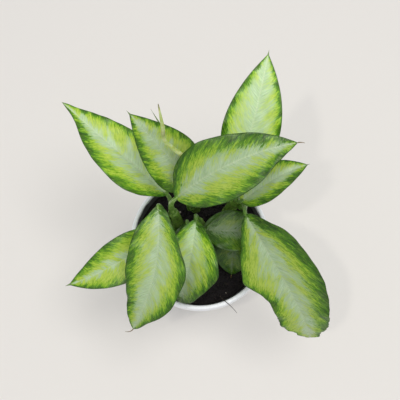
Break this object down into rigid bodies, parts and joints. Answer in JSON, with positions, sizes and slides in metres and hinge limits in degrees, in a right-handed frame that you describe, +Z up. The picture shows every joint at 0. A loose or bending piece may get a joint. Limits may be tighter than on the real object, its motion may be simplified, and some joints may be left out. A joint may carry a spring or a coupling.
{
  "type": "potted dieffenbachia",
  "caption": "Leafy variegated house plant on short canes, growing in a tapered white plastic pot filled with dark soil.",
  "frame": {"origin": "centre of the pot's flat underside, on the surface it stands on", "axes": "+Z up along the pot's axis; +X to the right and -Y towards the front, where the two broad leaves hang over the rim"},
  "size_m": [0.2653, 0.2486, 0.3471],
  "materials": {
    "pot_plastic": "smooth moulded white polypropylene, satin gloss",
    "potting_soil": "damp crumbly dark peat with a few bits of bark and perlite",
    "cane_skin": "smooth green cane with ring scars and papery sheath remains",
    "leaf": "satin waxy leaf, dark green margins, lime band and pale silvery centre",
    "young_leaf": "soft pale yellow-green rolled leaf"
  },
  "bodies": {
    "root": {"pot": "pot_plastic", "soil": "potting_soil", "cane_left": "cane_skin", "cane_back": "cane_skin", "cane_centre": "cane_skin", "cane_right": "cane_skin", "leaf_upper_left": "leaf", "leaf_over_crown": "leaf", "leaf_front_left": "leaf", "leaf_low_left": "leaf", "leaf_low_middle": "leaf", "leaf_steep": "leaf", "leaf_behind": "leaf", "leaf_front_middle": "leaf", "leaf_shaded": "leaf", "leaf_upright": "leaf", "leaf_right": "leaf", "leaf_hanging_right": "leaf", "leaf_lowest": "leaf", "leaf_rolled": "young_leaf"}
  },
  "joints": []
}
